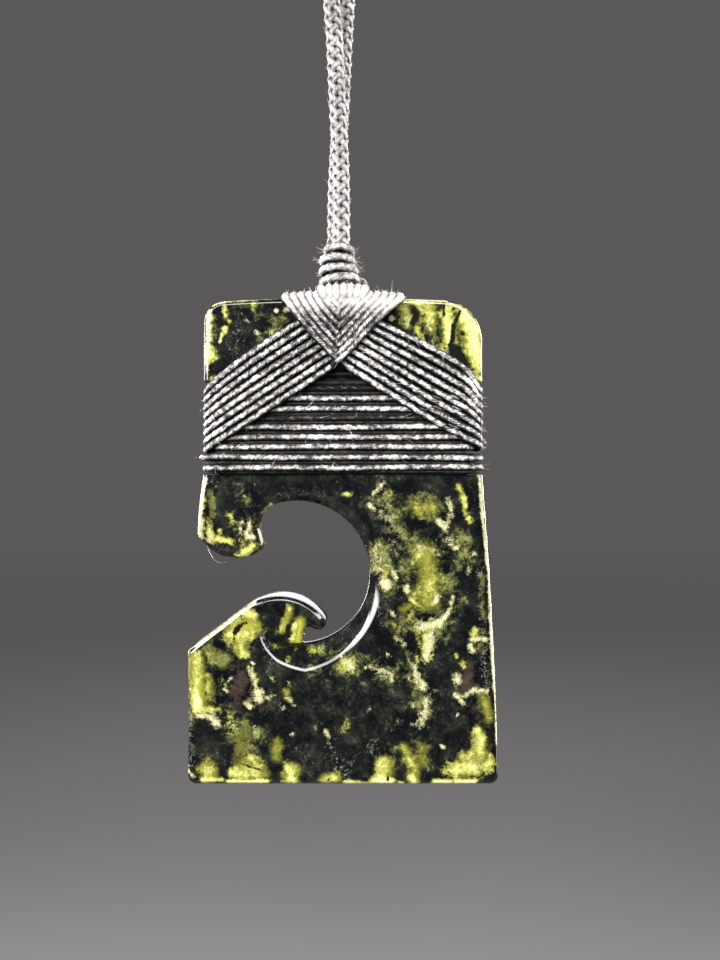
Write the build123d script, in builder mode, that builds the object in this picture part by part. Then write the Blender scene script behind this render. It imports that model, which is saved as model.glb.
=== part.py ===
from build123d import *
from collections import namedtuple
from math import atan, cos, degrees, pi, radians, sin, tan
import os

os.makedirs("parts", exist_ok=True)

# A koru pendant of green stone, lashed with waxed thread and hung on a braided neck cord.
# All lengths are millimetres. X runs to the wearer's left, -Y faces the viewer and +Z is up.
# The origin is the inside of the neck loop's top, where the loop lies on the neck.

# Stone
stone_height = 51.2
stone_top_width = 29.3
stone_flare = 1.7
stone_thickness = 6.0
stone_foot = -204.2
flare_height = 33.0
top_dome = 0.5
edge_bevel = 0.5
bevel_angle = 45
left_shoulder_radius = 2.2
right_shoulder_radius = 4.2
foot_corner_radius = 0.9

# Koru eye, its carved rim and its two jaws
eye_radius = 7.75
eye_height = 22.05
eye_offset = 4.9
throat_radius = 2.3
jaw_corner_radius = 0.4
wave_corner_radius = 0.6

# Thread
thread = 0.8
thread_gap = 0.1
turn_count = 9
turn_pitch = 1.04
lowest_turn_height = 33.3
loop_count = 8
loop_rise = 0.914
loop_slope = 33.0
cap_lift = 0.93
loop_split = 0.3
chevron_slope = 52.0
chevron_pitch = 0.6
chevron_lift = 0.11
saddle_pitch = 0.75
saddle_bend = 0.8
crown_count = 7
crown_share = 0.75
crown_middle = -0.15
crown_half_length = 3.6
crown_dip = 0.8

# Seats of the thread in the stone
waist_margin = 0.35
waist_bend = 0.6
binding_proud = 0.25
saddle_seat_depth = 0.4
saddle_seat_margin = 0.3
saddle_seat_bend = 0.7

# Collar and neck cords
cord = 2.0
collar_thread = 0.9
collar_pitch = 1.15
collar_turn_count = 4
collar_clearance = 0.35
cord_clearance = 0.3
collar_gap = 0.1
collar_middle = -0.53
cord_spacing = 2.2
cord_offset = 0.13
join_radius = 2.2
join_length = 20.0
join_edge = 0.6
join_gap = 0.3

cord_radius = cord / 2
face = stone_thickness / 2
half_top = stone_top_width / 2
half_foot = half_top + stone_flare

# Points of the two jaws, measured from the eye's centre as shares of the eye's radius.
# A point with no share across lies on the stone's left side.
Spot = namedtuple("Spot", "across up")
KORU = {
    "jaw_corner": Spot(across=None, up=0.529),
    "jaw_heel": Spot(across=-1.252, up=0.426),
    "jaw_belly": Spot(across=-0.813, up=0.219),
    "jaw_chin": Spot(across=-0.529, up=0.303),
    "jaw_tip": Spot(across=-0.472, up=0.381),
    "bay_end": Spot(across=-0.026, up=-0.852),
    "bay_roof": Spot(across=0.077, up=-0.703),
    "curl_hollow": Spot(across=0.168, up=-0.688),
    "curl_point": Spot(across=0.258, up=-0.748),
    "curl_nose": Spot(across=0.355, up=-0.735),
    "curl_brow": Spot(across=0.394, up=-0.619),
    "crest": Spot(across=-0.241, up=-0.298),
    "slope_top": Spot(across=-0.683, up=-0.430),
    "wave_corner": Spot(across=None, up=-1.030),
}
eye_start_turn = 126.4
eye_end_turn = -84.8

# How far the stone's sides have flared at some places, as shares of the whole flare.
FLARE = {
    "bulge": 0.56,
    "jaw_bulge": 0.33,
    "jaw_corner": 0.41,
    "wave_corner": 0.99,
}
bulge_share = 0.59
jaw_bulge_share = 0.35

# The carved rim round the eye: how far out it reaches on the face, as a share of the eye's
# radius, and how deep its wedge is at the inner end, as a share of the stone's thickness.
Rim = namedtuple("Rim", "turn reach depth")
CARVED_RIM = [
    Rim(turn=-120, reach=1.02, depth=0.02),
    Rim(turn=-103, reach=1.17, depth=0.20),
    Rim(turn=-80, reach=1.28, depth=0.275),
    Rim(turn=-45, reach=1.23, depth=0.285),
    Rim(turn=-5, reach=1.18, depth=0.305),
    Rim(turn=40, reach=1.19, depth=0.30),
    Rim(turn=80, reach=1.15, depth=0.28),
    Rim(turn=103, reach=1.09, depth=0.20),
    Rim(turn=124, reach=1.02, depth=0.02),
]
rim_inner_share = 0.93
rim_proud = 0.5

# Heights and layers that follow from the sizes above.
layer = thread + thread_gap
turns_middle = stone_foot + lowest_turn_height + (turn_count - 1) * turn_pitch / 2
turns_top = turns_middle + (turn_count - 1) * turn_pitch / 2 + thread / 2
waist_height = (turn_count - 1) * turn_pitch + thread + 2 * waist_margin
waist_half = half_top + binding_proud - 2 * layer
cap_middle = turns_middle + cap_lift
loops_middle = cap_middle + waist_half * tan(radians(loop_slope))
loops_top = loops_middle + (loop_count - 1) * loop_rise / 2
lean = degrees(atan(layer / (loops_top - turns_top)))
chevron_middle = loops_middle + chevron_lift
stone_top = stone_foot + stone_height
saddle_top = stone_top - saddle_seat_depth + thread_gap
saddle_foot = saddle_top - 2 * saddle_bend
strands_top = saddle_top - saddle_bend
saddle_width = (2 * loop_count - 1) * saddle_pitch + thread
crown_seat = saddle_top + crown_share * thread
collar_foot = crown_seat + thread + collar_clearance
cord_foot = crown_seat + thread + cord_clearance
collar_height = (collar_turn_count - 1) * collar_pitch + collar_thread
collar_inside = cord_radius + cord_offset + collar_gap

# Points that each cord runs through, chosen by hand from the collar to the join.
front = -cord_spacing / 2
back = cord_spacing / 2
CORD_ROUTES = {
    "left": [
        (collar_middle + cord_offset, front, cord_foot),
        (collar_middle + cord_offset, front, -145.80),
        (-0.20, front, -139.00),
        (-0.65, front, -131.50),
        (-0.95, front, -124.00),
        (-1.70, front, -116.50),
        (-5.00, -1.00, -109.60),
        (-11.20, -0.80, -104.20),
        (-20.50, -0.50, -98.80),
        (-35.40, -0.30, -91.00),
        (-51.60, 0.00, -78.60),
        (-64.60, 0.00, -60.50),
        (-69.00, 0.00, -39.40),
        (-63.40, 0.00, -18.80),
        (-49.40, 0.00, -4.40),
        (-29.80, 0.00, 1.50),
        (-join_length / 2 - join_gap, 0.00, join_radius),
    ],
    "right": [
        (collar_middle - cord_offset, back, cord_foot),
        (collar_middle - cord_offset, back, -146.00),
        (-0.92, back, -139.60),
        (-0.30, back, -131.50),
        (0.14, back, -124.00),
        (0.95, back, -116.20),
        (4.40, 1.00, -109.20),
        (10.90, 0.80, -103.80),
        (20.80, 0.50, -98.50),
        (36.20, 0.30, -90.80),
        (52.20, 0.00, -78.10),
        (64.70, 0.00, -60.00),
        (68.60, 0.00, -39.00),
        (62.80, 0.00, -18.40),
        (48.80, 0.00, -4.20),
        (29.40, 0.00, 1.55),
        (join_length / 2 + join_gap, 0.00, join_radius),
    ],
}
arc_share = 0.45


def spot(name):
    """A point of the koru, across and up from the foot of the stone's middle line."""
    place = KORU[name]
    if place.across is None:
        return -half_width(name), eye_height + place.up * eye_radius
    return place.across * eye_radius - eye_offset, eye_height + place.up * eye_radius


def half_width(name):
    """The stone's half width where its side has flared by a named share."""
    return half_top + FLARE[name] * stone_flare


def corner_radii():
    """The corners of the outline that are rounded, each with its radius."""
    return [
        ((half_top, stone_height - top_dome), right_shoulder_radius),
        ((-half_top, stone_height - top_dome), left_shoulder_radius),
        ((half_foot, 0), foot_corner_radius),
        ((-half_foot, 0), foot_corner_radius),
        (spot("jaw_corner"), jaw_corner_radius),
        (spot("wave_corner"), wave_corner_radius),
        (eye_point(eye_start_turn), throat_radius),
    ]


def eye_point(turn):
    """A point of the eye's circle, at a turn counted from +X."""
    return (
        eye_radius * cos(radians(turn)) - eye_offset,
        eye_radius * sin(radians(turn)) + eye_height,
    )


def stone_plane(distance=0.0):
    """An upright plane that faces the viewer, with its origin level with the stone's foot."""
    return Plane(origin=(0, -distance, stone_foot), x_dir=(1, 0, 0), z_dir=(0, -1, 0))


def rim_plane(turn):
    """The plane across the rim at one turn, with its origin on the front face at the eye's centre."""
    middle = stone_plane().from_local_coords((-eye_offset, eye_height, face))
    out = Vector(cos(radians(turn)), 0, sin(radians(turn)))
    along = Vector(-sin(radians(turn)), 0, cos(radians(turn)))
    return Plane(origin=middle, x_dir=out, z_dir=along)


def comb(count, pitch, diameter):
    """A row of round ribs on a flat strip, with the strip's inner side on the row's x axis."""
    with Locations((0, diameter / 4)):
        Rectangle((count - 1) * pitch, diameter / 2)
    with Locations((0, diameter / 2)):
        with GridLocations(pitch, pitch, count, 1):
            Circle(diameter / 2)


def start_of(path, row):
    """The plane square to a path at its start, with its x axis along the row of ribs."""
    return Plane(origin=path @ 0, x_dir=row, z_dir=path % 0)


def leaning_plane(distance):
    """A plane that leans back to the stone from the top of the waist turns."""
    return Plane(
        origin=(0, -distance, turns_top),
        x_dir=(1, 0, 0),
        z_dir=(0, -cos(radians(lean)), sin(radians(lean))),
    )


def strand_plane(side, slope, height):
    """The plane square to strands that climb to the right, where their middle meets X = 0."""
    along = side.x_dir * cos(radians(slope)) + side.y_dir * sin(radians(slope))
    across = side.y_dir * cos(radians(slope)) - side.x_dir * sin(radians(slope))
    return Plane(origin=side.from_local_coords((0, height, 0)), x_dir=across, z_dir=along)


def chevron_distance(height):
    """How far the chevron's inner side is from the stone's middle at a height above the turns."""
    return face + thread_gap + 2 * layer - (height - turns_top) * tan(radians(lean))


def strands(side, slope, pitch, height, low, high):
    """The left half of a row of slanted strands, kept between two heights."""
    with BuildPart() as row:
        with BuildSketch(strand_plane(side, slope, height)):
            comb(loop_count, pitch, thread)
        extrude(amount=stone_top_width, both=True)
        with Locations((-(waist_half + loop_split / 2) / 2, 0, (low + high) / 2)):
            Box(waist_half - loop_split / 2, stone_top_width, high - low, mode=Mode.INTERSECT)
    return row.part


def arc_radii(points):
    """The radius at each corner of a route, as large as its two runs allow."""
    radii = []
    for before, corner, after in zip(points, points[1:], points[2:]):
        arriving = Vector(corner) - Vector(before)
        leaving = Vector(after) - Vector(corner)
        turn = radians(arriving.get_angle(leaving))
        radii.append(arc_share * min(arriving.length, leaving.length) / tan(turn / 2))
    return radii


# The stone, with its outline drawn once round from the right of the foot.
with BuildPart() as stone:
    with BuildSketch(stone_plane()) as outline:
        with BuildLine():
            bulge_height = bulge_share * flare_height
            jaw_corner_height = spot("jaw_corner")[1]
            jaw_bulge_rise = jaw_bulge_share * (flare_height - jaw_corner_height)
            Line((-half_foot, 0), (half_foot, 0))
            ThreePointArc(
                (half_foot, 0),
                (half_width("bulge"), bulge_height),
                (half_top, flare_height),
            )
            Line((half_top, flare_height), (half_top, stone_height - top_dome))
            ThreePointArc(
                (half_top, stone_height - top_dome),
                (0, stone_height),
                (-half_top, stone_height - top_dome),
            )
            Line((-half_top, stone_height - top_dome), (-half_top, flare_height))
            ThreePointArc(
                (-half_top, flare_height),
                (-half_width("jaw_bulge"), jaw_corner_height + jaw_bulge_rise),
                spot("jaw_corner"),
            )
            Line(spot("jaw_corner"), spot("jaw_heel"))
            ThreePointArc(spot("jaw_heel"), spot("jaw_belly"), spot("jaw_chin"))
            Line(spot("jaw_chin"), spot("jaw_tip"))
            Line(spot("jaw_tip"), eye_point(eye_start_turn))
            ThreePointArc(eye_point(eye_start_turn), eye_point(0), eye_point(eye_end_turn))
            ThreePointArc(eye_point(eye_end_turn), spot("bay_end"), spot("bay_roof"))
            ThreePointArc(spot("bay_roof"), spot("curl_hollow"), spot("curl_point"))
            ThreePointArc(spot("curl_point"), spot("curl_nose"), spot("curl_brow"))
            ThreePointArc(spot("curl_brow"), spot("crest"), spot("slope_top"))
            Line(spot("slope_top"), spot("wave_corner"))
            Line(spot("wave_corner"), (-half_foot, 0))
        make_face()
        for place, radius in corner_radii():
            fillet(outline.vertices().sort_by_distance(place)[0], radius)
    extrude(amount=face - edge_bevel, both=True)
    for side, way in ((1, 1), (-1, -1)):
        with BuildSketch(stone_plane(side * (face - edge_bevel))):
            add(outline.sketch_local)
        extrude(amount=way * edge_bevel, taper=bevel_angle)

with BuildPart() as carving:
    for rim in CARVED_RIM:
        with BuildSketch(rim_plane(rim.turn)):
            with BuildLine():
                Polyline(
                    (rim.reach * eye_radius, 0),
                    (rim_inner_share * eye_radius, rim.depth * stone_thickness),
                    (rim_inner_share * eye_radius, -rim_proud),
                    (rim.reach * eye_radius, -rim_proud),
                    close=True,
                )
            make_face()
    loft()

with BuildPart() as waist_cut:
    with BuildSketch(Plane.XY.offset(turns_middle - waist_height / 2)):
        Rectangle(2 * half_foot, 2 * stone_thickness)
        RectangleRounded(2 * waist_half, stone_thickness, waist_bend, mode=Mode.SUBTRACT)
    extrude(amount=waist_height)

with BuildPart() as seat_cut:
    with BuildSketch(Plane.YZ.offset(-saddle_width / 2 - saddle_seat_margin)):
        with Locations((0, stone_top)):
            Rectangle(2 * stone_thickness, 2 * saddle_seat_bend + 2 * saddle_seat_depth)
        with Locations((0, stone_top - saddle_seat_depth - stone_thickness / 2)):
            RectangleRounded(stone_thickness, stone_thickness, saddle_seat_bend, mode=Mode.SUBTRACT)
    extrude(amount=saddle_width + 2 * saddle_seat_margin)

with stone:
    add(carving.part, mode=Mode.SUBTRACT)
    add(mirror(carving.part, about=Plane.XZ), mode=Mode.SUBTRACT)
    add(waist_cut.part, mode=Mode.SUBTRACT)
    add(seat_cut.part, mode=Mode.SUBTRACT)

# The nine turns of thread round the stone's waist.
with BuildPart() as horizontal_turns:
    with BuildLine(Plane.XY.offset(turns_middle)) as turn_path:
        FilletPolyline(
            (-waist_half - thread_gap, -face - thread_gap),
            (-waist_half - thread_gap, face + thread_gap),
            (waist_half + thread_gap, face + thread_gap),
            (waist_half + thread_gap, -face - thread_gap),
            radius=waist_bend + thread_gap,
            close=True,
        )
    with BuildSketch(start_of(turn_path.wire(), (0, 0, -1))):
        comb(turn_count, turn_pitch, thread)
    sweep()

# The strands that run down to the left edge, round it and up the back.
flat_strands = strands(
    stone_plane(face + thread_gap + layer),
    loop_slope,
    loop_rise * cos(radians(loop_slope)),
    loops_middle - stone_foot,
    stone_foot,
    turns_top,
)
leaning_strands = strands(
    leaning_plane(face + thread_gap + layer),
    loop_slope,
    loop_rise * cos(radians(loop_slope)),
    (loops_middle - turns_top) / cos(radians(lean)),
    turns_top,
    strands_top,
)
with BuildPart() as left_diagonals:
    with BuildLine(Plane.XY.offset(cap_middle)) as cap_path:
        FilletPolyline(
            (-waist_half + thread, -face - thread_gap - layer),
            (-waist_half - thread_gap - layer, -face - thread_gap - layer),
            (-waist_half - thread_gap - layer, face + thread_gap + layer),
            (-waist_half + thread, face + thread_gap + layer),
            radius=waist_bend + thread_gap + layer,
        )
    with BuildSketch(start_of(cap_path.wire(), (0, 0, -1))):
        comb(loop_count, loop_rise, thread)
    sweep()
    add(flat_strands)
    add(leaning_strands)
    add(mirror(flat_strands, about=Plane.XZ))
    add(mirror(leaning_strands, about=Plane.XZ))

with BuildPart() as right_diagonals:
    add(mirror(left_diagonals.part, about=Plane.YZ))

# The V on the front, the saddle over the stone's top edge and the V on the back.
left_arm = strands(
    leaning_plane(face + thread_gap + 2 * layer),
    -chevron_slope,
    chevron_pitch,
    (chevron_middle - turns_top) / cos(radians(lean)),
    turns_top,
    saddle_top,
)
with BuildPart() as chevron:
    with BuildLine(Plane.YZ) as saddle_path:
        FilletPolyline(
            (-chevron_distance(saddle_foot), saddle_foot),
            (-chevron_distance(saddle_top), saddle_top),
            (chevron_distance(saddle_top), saddle_top),
            (chevron_distance(saddle_foot), saddle_foot),
            radius=saddle_bend,
        )
    with BuildSketch(start_of(saddle_path.wire(), (-1, 0, 0))):
        comb(2 * loop_count, saddle_pitch, thread)
    sweep()
    with BuildLine(Plane.YZ.offset(crown_middle)) as crown_path:
        ThreePointArc(
            (-crown_half_length, crown_seat - crown_dip),
            (0, crown_seat),
            (crown_half_length, crown_seat - crown_dip),
        )
    with BuildSketch(start_of(crown_path.wire(), (-1, 0, 0))):
        comb(crown_count, saddle_pitch, thread)
    sweep()
    add(left_arm)
    add(mirror(left_arm, about=Plane.YZ))
    add(mirror(left_arm, about=Plane.XZ))
    add(mirror(mirror(left_arm, about=Plane.YZ), about=Plane.XZ))

# The thread collar round the two cords.
with BuildPart() as collar_whipping:
    with BuildLine(Plane((collar_middle, 0, collar_foot + collar_height / 2))) as collar_path:
        Line((collar_inside, -cord_spacing / 2), (collar_inside, cord_spacing / 2))
        ThreePointArc(
            (collar_inside, cord_spacing / 2),
            (0, cord_spacing / 2 + collar_inside),
            (-collar_inside, cord_spacing / 2),
        )
        Line((-collar_inside, cord_spacing / 2), (-collar_inside, -cord_spacing / 2))
        ThreePointArc(
            (-collar_inside, -cord_spacing / 2),
            (0, -cord_spacing / 2 - collar_inside),
            (collar_inside, -cord_spacing / 2),
        )
    with BuildSketch(start_of(collar_path.wire(), (0, 0, 1))):
        comb(collar_turn_count, collar_pitch, collar_thread)
    sweep()

# The two cords and the join that closes the loop at its top.
with BuildPart() as neck_cord_left:
    with BuildLine() as left_route:
        FilletPolyline(*CORD_ROUTES["left"], radius=arc_radii(CORD_ROUTES["left"]))
    with BuildSketch(start_of(left_route.wire(), (1, 0, 0))):
        Circle(cord_radius)
    sweep()

with BuildPart() as neck_cord_right:
    with BuildLine() as right_route:
        FilletPolyline(*CORD_ROUTES["right"], radius=arc_radii(CORD_ROUTES["right"]))
    with BuildSketch(start_of(right_route.wire(), (1, 0, 0))):
        Circle(cord_radius)
    sweep()

with BuildPart() as cord_join:
    with BuildSketch(Plane.YZ.offset(-join_length / 2)):
        with Locations((0, join_radius)):
            Circle(join_radius)
    extrude(amount=join_length)
    fillet(cord_join.edges().filter_by(GeomType.CIRCLE), radius=join_edge)

for name, route, tube in (
    ("left", left_route.wire(), neck_cord_left.part),
    ("right", right_route.wire(), neck_cord_right.part),
):
    print(name, "cord length:", round(route.length, 1), "mm")
    print(name, "tube over its sum:", round(tube.volume / (pi * cord_radius**2 * route.length), 4))
    print(name, "arc radii:", [round(radius, 1) for radius in arc_radii(CORD_ROUTES[name])])

stone.part.label = "stone"
export_step(stone.part, "parts/stone.step")
horizontal_turns.part.label = "horizontal_turns"
export_step(horizontal_turns.part, "parts/horizontal_turns.step")
left_diagonals.part.label = "left_diagonals"
export_step(left_diagonals.part, "parts/left_diagonals.step")
right_diagonals.part.label = "right_diagonals"
export_step(right_diagonals.part, "parts/right_diagonals.step")
chevron.part.label = "chevron"
export_step(chevron.part, "parts/chevron.step")
collar_whipping.part.label = "collar_whipping"
export_step(collar_whipping.part, "parts/collar_whipping.step")
neck_cord_left.part.label = "neck_cord_left"
export_step(neck_cord_left.part, "parts/neck_cord_left.step")
neck_cord_right.part.label = "neck_cord_right"
export_step(neck_cord_right.part, "parts/neck_cord_right.step")
cord_join.part.label = "cord_join"
export_step(cord_join.part, "parts/cord_join.step")
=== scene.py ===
import math
from functools import partialmethod

import bmesh
import bpy
import numpy as np
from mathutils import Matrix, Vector


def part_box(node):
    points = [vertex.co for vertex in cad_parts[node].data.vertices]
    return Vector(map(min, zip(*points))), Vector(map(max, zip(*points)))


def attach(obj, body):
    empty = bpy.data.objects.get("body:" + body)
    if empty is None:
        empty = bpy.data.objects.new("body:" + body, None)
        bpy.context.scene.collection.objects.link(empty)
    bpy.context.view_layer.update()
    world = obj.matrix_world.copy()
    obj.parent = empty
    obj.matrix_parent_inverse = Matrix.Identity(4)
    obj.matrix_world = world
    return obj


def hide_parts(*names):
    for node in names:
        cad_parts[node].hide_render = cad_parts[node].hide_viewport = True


# A koru pendant of green stone, lashed with waxed thread and hung on a braided neck cord.
# Lengths in tables are millimetres. X runs to the viewer's right and -Y faces the viewer.
# Heights in tables are counted up from the foot of the stone.

MM = 0.001
STONE_FOOT = -204.2
FACE = 3.0

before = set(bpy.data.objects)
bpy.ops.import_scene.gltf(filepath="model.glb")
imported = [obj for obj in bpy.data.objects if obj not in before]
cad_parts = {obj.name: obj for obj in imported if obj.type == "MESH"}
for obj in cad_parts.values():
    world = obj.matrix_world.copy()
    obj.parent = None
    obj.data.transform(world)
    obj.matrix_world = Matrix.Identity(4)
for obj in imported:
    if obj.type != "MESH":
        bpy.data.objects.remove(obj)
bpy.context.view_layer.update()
BODY = "root"


# Camera

CAMERA_PLACE = (1.785 * MM, -118.5 * MM, (STONE_FOOT + 32.0) * MM)
LENS = 41.25
SENSOR = 36
NEAREST = 0.01


def place_camera():
    """The camera stands where the photograph was taken from, level and close to the stone."""
    bpy.ops.object.camera_add(location=CAMERA_PLACE, rotation=(math.radians(90), 0, 0))
    camera = bpy.context.object
    camera.name = "camera"
    camera.data.lens = LENS
    camera.data.sensor_width = SENSOR
    camera.data.clip_start = NEAREST
    bpy.context.scene.camera = camera


place_camera()


# Materials


class Value:
    """A socket whose sums, products and other maths become Math nodes."""

    def __init__(self, tree, socket):
        self.tree = tree
        self.socket = socket

    def maths(self, operation, *others, swapped=False):
        node = self.tree.nodes.new("ShaderNodeMath")
        node.operation = operation
        values = [self, *others]
        if swapped:
            values.reverse()
        for i, value in enumerate(values):
            feed(self.tree, node.inputs[i], value)
        return Value(self.tree, node.outputs[0])

    __add__ = partialmethod(maths, "ADD")
    __radd__ = partialmethod(maths, "ADD", swapped=True)
    __sub__ = partialmethod(maths, "SUBTRACT")
    __rsub__ = partialmethod(maths, "SUBTRACT", swapped=True)
    __mul__ = partialmethod(maths, "MULTIPLY")
    __rmul__ = partialmethod(maths, "MULTIPLY", swapped=True)
    __truediv__ = partialmethod(maths, "DIVIDE")
    __rtruediv__ = partialmethod(maths, "DIVIDE", swapped=True)
    __abs__ = partialmethod(maths, "ABSOLUTE")

    def clamped(self):
        return self.maths("MAXIMUM", 0.0).maths("MINIMUM", 1.0)

    def rise(self, low, high):
        """0 below low, 1 above high and a smooth step between."""
        return Finish.node_in(
            self.tree, "MapRange", {"interpolation_type": "SMOOTHSTEP"},
            Value=self, **{"From Min": low, "From Max": high},
        )


def feed(tree, socket, value):
    if isinstance(value, Value):
        tree.links.new(value.socket, socket)
    else:
        socket.default_value = value


class Finish:
    """One material, whose nodes are made by a single method."""

    def __init__(self, name, **constants):
        self.material = bpy.data.materials.new(name)
        self.material.use_nodes = True
        self.tree = self.material.node_tree
        self.shader = self.tree.nodes["Principled BSDF"]
        for socket, value in constants.items():
            self.shader.inputs[socket.replace("_", " ")].default_value = value

    @staticmethod
    def node_in(tree, kind, settings=None, output=0, **values):
        node = tree.nodes.new("ShaderNode" + kind)
        for setting, value in (settings or {}).items():
            if setting == "stops":
                ramp = node.color_ramp.elements
                while len(ramp) < len(value):
                    ramp.new(0.5)
                for element, (position, colour) in zip(ramp, value):
                    element.position = position
                    element.color = (*colour, 1)
            else:
                setattr(node, setting, value)
        for socket, value in values.items():
            key = int(socket[1:]) if socket[0] == "_" else socket
            feed(tree, node.inputs[key], value)
        return Value(tree, node.outputs[output])

    def node(self, kind, settings=None, output=0, **values):
        return self.node_in(self.tree, kind, settings, output, **values)

    def place(self):
        return self.node("TexCoord", output=3)

    def noise(self, vector, scale, detail=2.0, roughness=0.5, distortion=0.0, output=0):
        return self.node(
            "TexNoise", output=output, Vector=vector, Scale=scale, Detail=detail,
            Roughness=roughness, Distortion=distortion,
        )

    def mix(self, amount, first, second):
        return self.node(
            "Mix", {"data_type": "RGBA"}, output=2, _0=amount, _6=first, _7=second
        )

    def ramp(self, value, *stops):
        return self.node("ValToRGB", {"stops": stops}, Fac=value)

    def split(self, vector):
        parts = self.node("SeparateXYZ", Vector=vector)
        return [Value(self.tree, socket) for socket in parts.socket.node.outputs]

    def bump(self, height, strength, distance):
        return self.node("Bump", Height=height, Strength=strength, Distance=distance)

    def wear(self, **sockets):
        for socket, value in sockets.items():
            feed(self.tree, self.shader.inputs[socket.replace("_", " ")], value)
        return self.material


def colour(red, green, blue):
    return (red, green, blue, 1)


# The plies' turn over each millimetre of thread, how far fuzzy fibres even out the painted shade
# on the saddle and how light they are painted, how much darker the chevron is painted as painted shade,
# and where each begins and is whole, in metres.
PLY_SLANT = 0.36
FUZZ = 0.80
FUZZ_LIGHT = 1.17
FUZZ_RISE = (-0.0030, 0.0)
CHEVRON_SHADE = 0.07
CHEVRON_REACH = (0.0030, 0.0052)
CHEVRON_RISE = (-0.0073, -0.0063)


def thread_finish(name, groove_shade, flank_shade, half_lit, crown_light, ply_turns,
                  stops=(0.38, 0.56, 0.68, 0.82), fuzzy_from=None):
    """Waxed, twisted fibre in its own grey, with light painted on its crown and shade painted in the
    hollows beside it.

    stops says how light the four colours lie. Near the height fuzzy_from, in metres, and
    above it, fuzzy fibres fill the painted shade with painted light, and the chevron below is painted
    darker, as painted shade."""
    finish = Finish(name, Roughness=0.8, Specular_IOR_Level=0.12)
    along, around, _ = finish.split(finish.node("UVMap", {"uv_map": "run"}))
    crown = finish.node("Attribute", {"attribute_name": "crown"}, output=2)
    twist = around * ply_turns + along * PLY_SLANT
    ridge = (twist * (2 * math.pi)).maths("SINE") * 0.5 + 0.5
    strip = finish.node("CombineXYZ", X=along * 1.5, Y=around * 9.0 + along * 2.6, Z=0.0)
    fibre = finish.noise(strip, 1.9, detail=4.0, roughness=0.65) - 0.5
    patch = finish.noise(finish.place(), 1700.0, detail=3.0, roughness=0.6) - 0.5
    slow = finish.noise(finish.place(), 230.0, detail=2.0) - 0.5
    light = crown + fibre * 1.5 + patch * 1.2 + slow * 0.5 + ridge * 0.05 + 0.05
    if fuzzy_from:
        across, _, height = finish.split(finish.place())
        chevron = (1 - abs(across).rise(*CHEVRON_REACH)) * (height - fuzzy_from).rise(*CHEVRON_RISE)
        light = light - chevron * CHEVRON_SHADE
        fuzz = (height - fuzzy_from).rise(*FUZZ_RISE) * FUZZ
        light = light + (FUZZ_LIGHT - light) * fuzz
    # The thread's grey in four painted lights: shade in the hollows, shade on the sides, half lit, and
    # lit on the crown.
    tint = finish.ramp(light * 0.5 + 0.2, *zip(stops, (groove_shade, flank_shade, half_lit, crown_light)))
    return finish.wear(
        Base_Color=tint,
        Normal=finish.bump(ridge * 0.5 + fibre * 1.6, 0.5, 0.00010),
    )


# Lines and tubes


def smooth_line(points, step, closed=False):
    """Evenly spaced points on a smooth line through the given ones."""
    points = np.array(points, float)
    if closed:
        around = np.vstack([points[-1], points, points[0], points[1]])
    else:
        around = np.vstack([2 * points[0] - points[1], points, 2 * points[-1] - points[-2]])
    line = []
    for a, b, c, d in zip(around, around[1:], around[2:], around[3:]):
        pieces = max(2, int(np.linalg.norm(c - b) / step * 2))
        for t in np.arange(pieces) / pieces:
            line.append(
                0.5 * ((2 * b) + (c - a) * t + (2 * a - 5 * b + 4 * c - d) * t**2
                       + (3 * b - a - 3 * c + d) * t**3)
            )
    line.append(points[0] if closed else points[-1])
    return spaced(np.array(line), step)


def travelled(line):
    """How far along a line each of its points lies."""
    return np.concatenate([[0], np.cumsum(np.linalg.norm(np.diff(line, axis=0), axis=1))])


def spaced(line, step):
    """The same line with its points an even step apart."""
    reach = travelled(line)
    count = max(4, int(round(reach[-1] / step)))
    marks = np.linspace(0, reach[-1], count + 1)
    return np.stack([np.interp(marks, reach, line[:, k]) for k in range(3)], axis=1)


def carried_frames(line):
    """Tangents and two square directions that turn as little as they can along a line."""
    tangent = np.gradient(line, axis=0)
    tangent /= np.linalg.norm(tangent, axis=1)[:, None]
    side = np.cross(tangent[0], [0, 1, 0])
    if np.linalg.norm(side) < 0.1:
        side = np.cross(tangent[0], [0, 0, 1])
    sides = [side / np.linalg.norm(side)]
    for direction in tangent[1:]:
        side = sides[-1] - direction * np.dot(sides[-1], direction)
        sides.append(side / np.linalg.norm(side))
    sides = np.array(sides)
    return tangent, sides, np.cross(tangent, sides)


def spokes(sides, side, up):
    """Evenly turned directions square to a line, a ring of them for each of its points."""
    turns = 2 * np.pi * np.arange(sides) / sides
    return np.cos(turns)[None, :, None] * side[:, None] + np.sin(turns)[None, :, None] * up[:, None]


# The height at which threads start to turn over the stone's top, and the lashed stone's half
# width and half depth.
SADDLE_FOOT = 50.6
HALF_WIDTH = 14.4
HALF_DEPTH = 4.0


def outward(place):
    """Which way the lashed stone's surface faces under a place, given in millimetres."""
    x, y, z = place
    top = min(max((z - STONE_FOOT - SADDLE_FOOT) / 1.4, 0), 1)
    way = np.array([
        math.copysign(min(abs(x) / HALF_WIDTH, 1.05) ** 14, x),
        math.copysign(min(abs(y) / HALF_DEPTH, 1) ** 2 + 1e-3, y) * (1 - 0.9 * top),
        1.4 * top,
    ])
    return way / np.linalg.norm(way)


# How far fibres may stand out in front and behind, and how much a thread swells on the saddle.
HAIR_DEPTH = 5.7
SADDLE_SWELL = 0.28


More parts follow.
